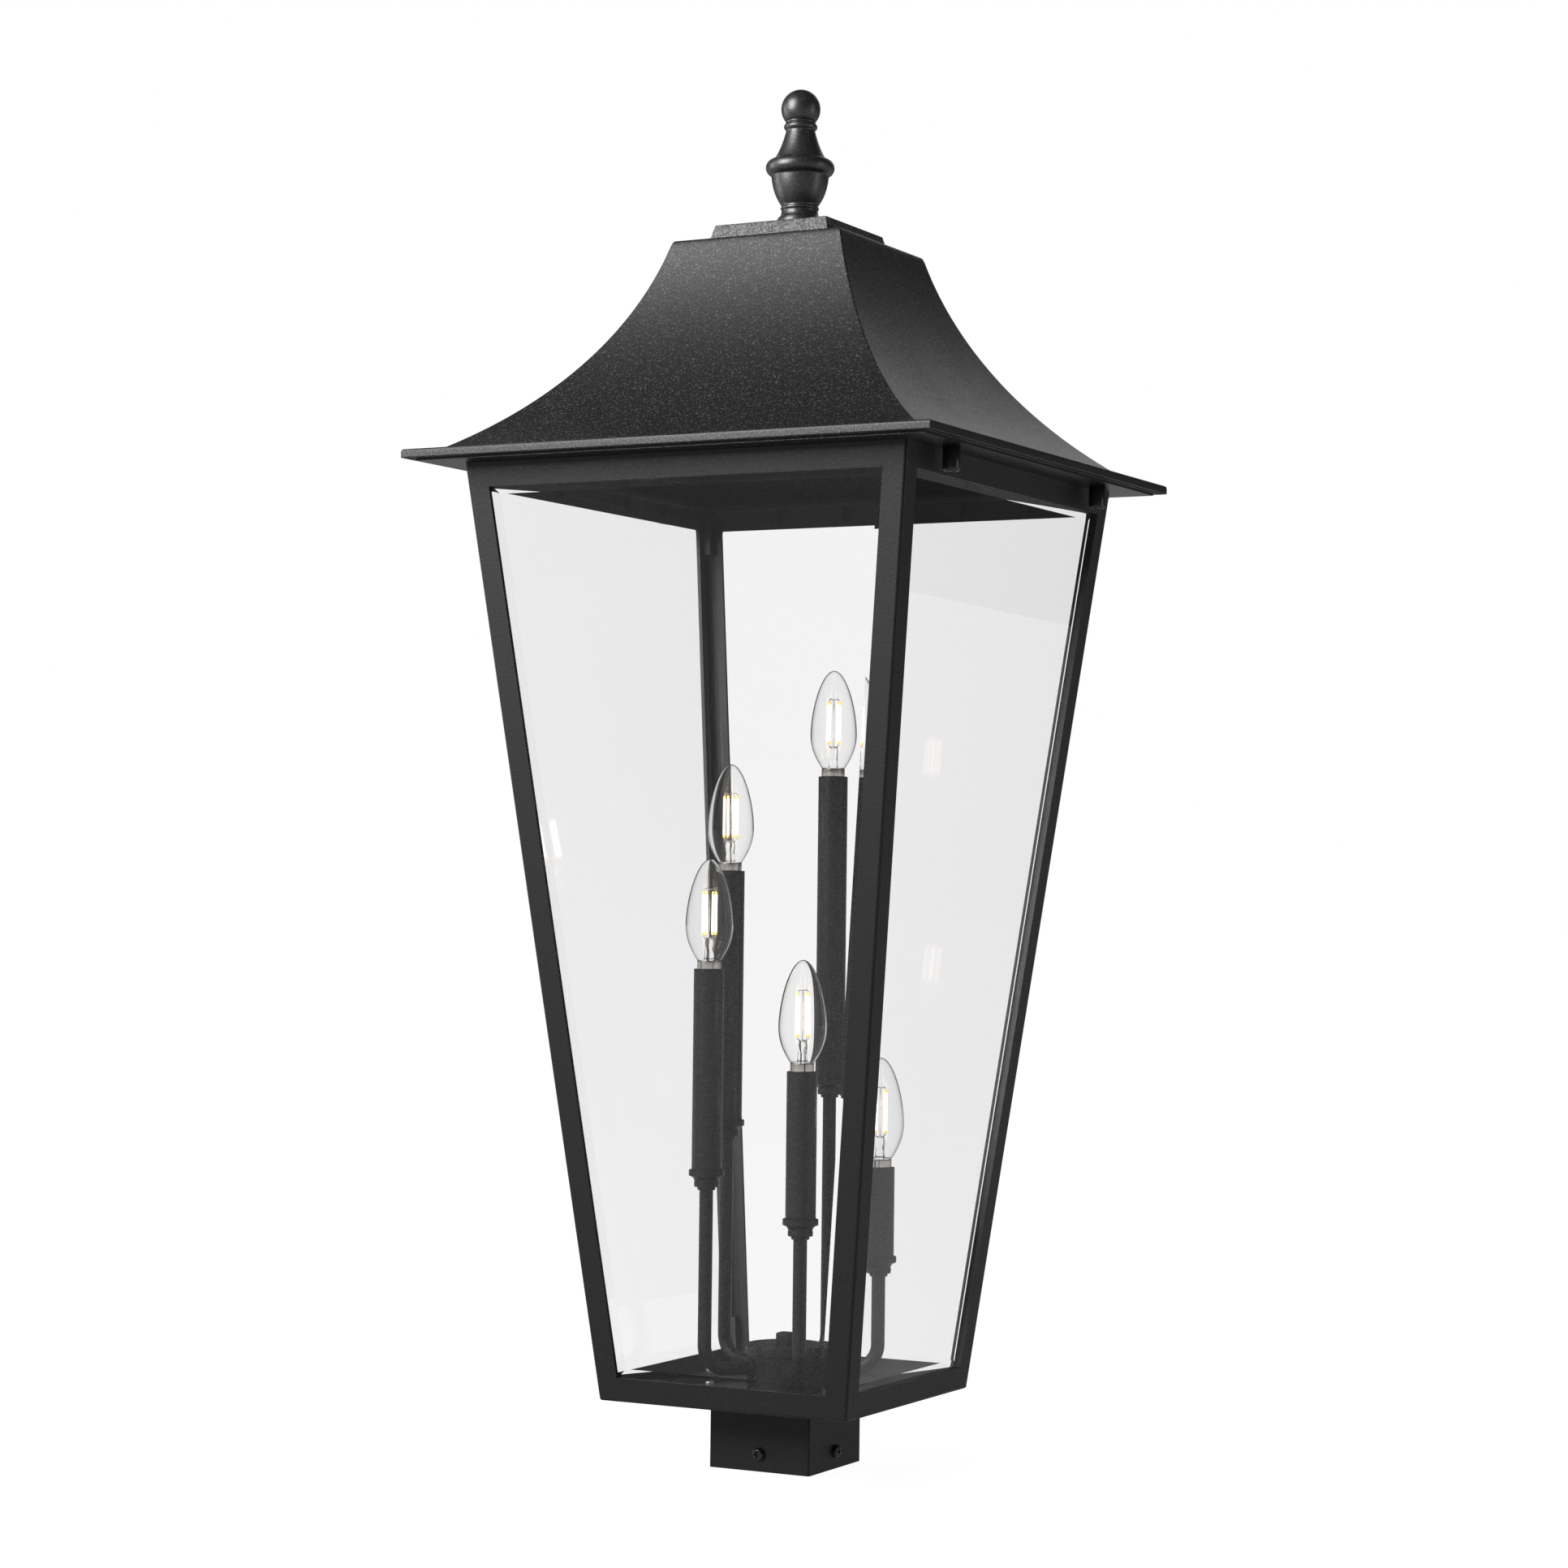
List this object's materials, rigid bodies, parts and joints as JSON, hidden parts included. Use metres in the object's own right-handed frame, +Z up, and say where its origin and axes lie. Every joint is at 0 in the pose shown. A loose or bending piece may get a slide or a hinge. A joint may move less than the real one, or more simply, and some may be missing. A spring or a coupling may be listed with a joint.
{
  "type": "post lantern",
  "caption": "Tapered square glass post lantern with a bell-curved roof, turned finial, stepped candle lamps on bent arms round a hub, and a square post-fitter collar.",
  "frame": {"origin": "centre of the post collar's open mouth, on the lantern's upright axis", "axes": "+Z up the post to the finial; X and Y square to the glass faces"},
  "size_m": [0.4204, 0.4204, 1.016],
  "materials": {
    "black_powder_coat": "fine-textured satin black powder coat",
    "black_hardware": "satin black plated",
    "bevelled_glass": "clear polished, bevelled edge",
    "bulb_glass": "clear blown",
    "bulb_metal": "nickel plated",
    "zinc_steel": "zinc plated",
    "black_phenolic": "moulded"
  },
  "bodies": {
    "lantern": {"post_collar": "black_powder_coat", "base_plate": "black_powder_coat", "bottom_rails": "black_powder_coat", "top_rails": "black_powder_coat", "glass_clips": "black_powder_coat", "soffit_plate": "black_powder_coat", "hub_canister": "black_powder_coat", "hub_lid": "black_powder_coat", "hub_knob": "black_powder_coat", "base_plate_screws": "zinc_steel", "locknuts": "zinc_steel", "centre_nipple": "zinc_steel", "stem_coupler": "zinc_steel", "lamp_sockets": "black_phenolic", "corner_post_1": "black_powder_coat", "glass_pane_1": "bevelled_glass", "corner_post_2": "black_powder_coat", "glass_pane_2": "bevelled_glass", "corner_post_3": "black_powder_coat", "glass_pane_3": "bevelled_glass", "corner_post_4": "black_powder_coat", "glass_pane_4": "bevelled_glass", "lamp_arm_1": "black_powder_coat", "candle_cup_1": "black_powder_coat", "candle_sleeve_1": "black_powder_coat", "lamp_arm_2": "black_powder_coat", "candle_cup_2": "black_powder_coat", "candle_sleeve_2": "black_powder_coat", "lamp_arm_3": "black_powder_coat", "candle_cup_3": "black_powder_coat", "candle_sleeve_3": "black_powder_coat", "lamp_arm_4": "black_powder_coat", "candle_cup_4": "black_powder_coat", "candle_sleeve_4": "black_powder_coat", "lamp_arm_5": "black_powder_coat", "candle_cup_5": "black_powder_coat", "candle_sleeve_5": "black_powder_coat"},
    "roof": {"roof_shell": "black_powder_coat", "roof_ring": "black_powder_coat", "cap_plate": "black_powder_coat", "finial": "black_powder_coat", "finial_nut": "zinc_steel"},
    "roof_nut_1": {"roof_nut_1": "black_hardware"},
    "roof_nut_2": {"roof_nut_2": "black_hardware"},
    "roof_nut_3": {"roof_nut_3": "black_hardware"},
    "roof_nut_4": {"roof_nut_4": "black_hardware"},
    "set_screw_1": {"set_screw_1": "black_hardware"},
    "set_screw_2": {"set_screw_2": "black_hardware"},
    "set_screw_3": {"set_screw_3": "black_hardware"},
    "set_screw_4": {"set_screw_4": "black_hardware"},
    "bulb_1": {"bulb_glass_1": "bulb_glass", "bulb_base_1": "bulb_metal"},
    "bulb_2": {"bulb_glass_2": "bulb_glass", "bulb_base_2": "bulb_metal"},
    "bulb_3": {"bulb_glass_3": "bulb_glass", "bulb_base_3": "bulb_metal"},
    "bulb_4": {"bulb_glass_4": "bulb_glass", "bulb_base_4": "bulb_metal"},
    "bulb_5": {"bulb_glass_5": "bulb_glass", "bulb_base_5": "bulb_metal"}
  },
  "joints": [
    {"name": "roof_lift", "type": "slide", "parent": "lantern", "child": "roof", "axis": [0, 0, 1], "range_m": [0, 0.2]},
    {"name": "roof_nut_1_unscrew", "type": "slide", "parent": "lantern", "child": "roof_nut_1", "axis": [0, 0, -1], "range_m": [0, 0.015]},
    {"name": "roof_nut_2_unscrew", "type": "slide", "parent": "lantern", "child": "roof_nut_2", "axis": [0, 0, -1], "range_m": [0, 0.015]},
    {"name": "roof_nut_3_unscrew", "type": "slide", "parent": "lantern", "child": "roof_nut_3", "axis": [0, 0, -1], "range_m": [0, 0.015]},
    {"name": "roof_nut_4_unscrew", "type": "slide", "parent": "lantern", "child": "roof_nut_4", "axis": [0, 0, -1], "range_m": [0, 0.015]},
    {"name": "set_screw_1_unscrew", "type": "slide", "parent": "lantern", "child": "set_screw_1", "axis": [0, -1, 0], "range_m": [0, 0.008]},
    {"name": "set_screw_2_unscrew", "type": "slide", "parent": "lantern", "child": "set_screw_2", "axis": [1, 0, 0], "range_m": [0, 0.008]},
    {"name": "set_screw_3_unscrew", "type": "slide", "parent": "lantern", "child": "set_screw_3", "axis": [0, 1, 0], "range_m": [0, 0.008]},
    {"name": "set_screw_4_unscrew", "type": "slide", "parent": "lantern", "child": "set_screw_4", "axis": [-1, 0, 0], "range_m": [0, 0.008]},
    {"name": "bulb_1_unscrew", "type": "slide", "parent": "lantern", "child": "bulb_1", "axis": [0, 0, 1], "range_m": [0, 0.02]},
    {"name": "bulb_2_unscrew", "type": "slide", "parent": "lantern", "child": "bulb_2", "axis": [0, 0, 1], "range_m": [0, 0.02]},
    {"name": "bulb_3_unscrew", "type": "slide", "parent": "lantern", "child": "bulb_3", "axis": [0, 0, 1], "range_m": [0, 0.02]},
    {"name": "bulb_4_unscrew", "type": "slide", "parent": "lantern", "child": "bulb_4", "axis": [0, 0, 1], "range_m": [0, 0.02]},
    {"name": "bulb_5_unscrew", "type": "slide", "parent": "lantern", "child": "bulb_5", "axis": [0, 0, 1], "range_m": [0, 0.02]}
  ]
}
